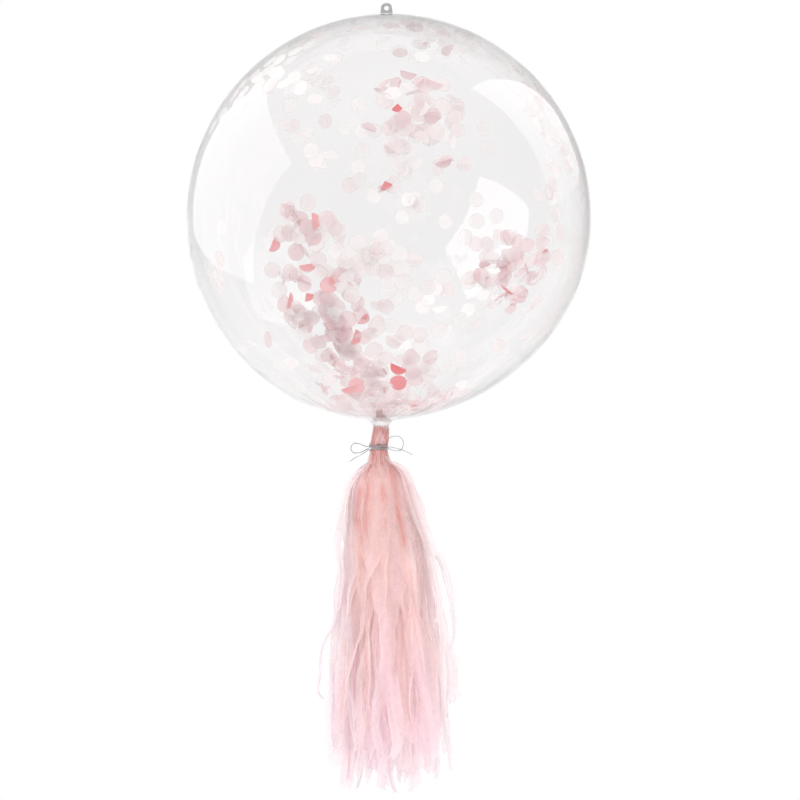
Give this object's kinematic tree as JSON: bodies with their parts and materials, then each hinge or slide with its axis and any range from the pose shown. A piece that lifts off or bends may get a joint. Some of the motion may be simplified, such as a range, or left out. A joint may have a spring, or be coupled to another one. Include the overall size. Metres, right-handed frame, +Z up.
{
  "type": "confetti balloon with tassel",
  "caption": "Clear round party balloon with a hanging eye on its crown, confetti inside and a tissue paper tassel tied to its neck with silver thread.",
  "frame": {"origin": "centre of the bore in the hanging eye on the balloon's crown", "axes": "+Z up towards what the eye hangs on, +X to the right and -Y towards the front, as the picture shows it"},
  "size_m": [0.6096, 0.6096, 1.1869],
  "materials": {
    "clear_plastic": "clear moulded plastic, grey at its edges",
    "clear_film": "glossy clear film",
    "peach_tissue": "thin matt tissue, lets light through",
    "pearl_tissue": "thin pale tissue with a faint sheen",
    "pink_tissue": "thin matt tissue, lets light through",
    "silver_thread": "metallised thread"
  },
  "bodies": {
    "root": {"hanging_eye": "clear_plastic", "balloon": "clear_film", "peach_tissue_sheet": "peach_tissue", "pearl_tissue_sheet": "pearl_tissue", "pink_tissue_sheet": "pink_tissue", "tie_winding": "silver_thread", "tie_left_bow": "silver_thread", "tie_right_bow": "silver_thread"}
  },
  "joints": []
}
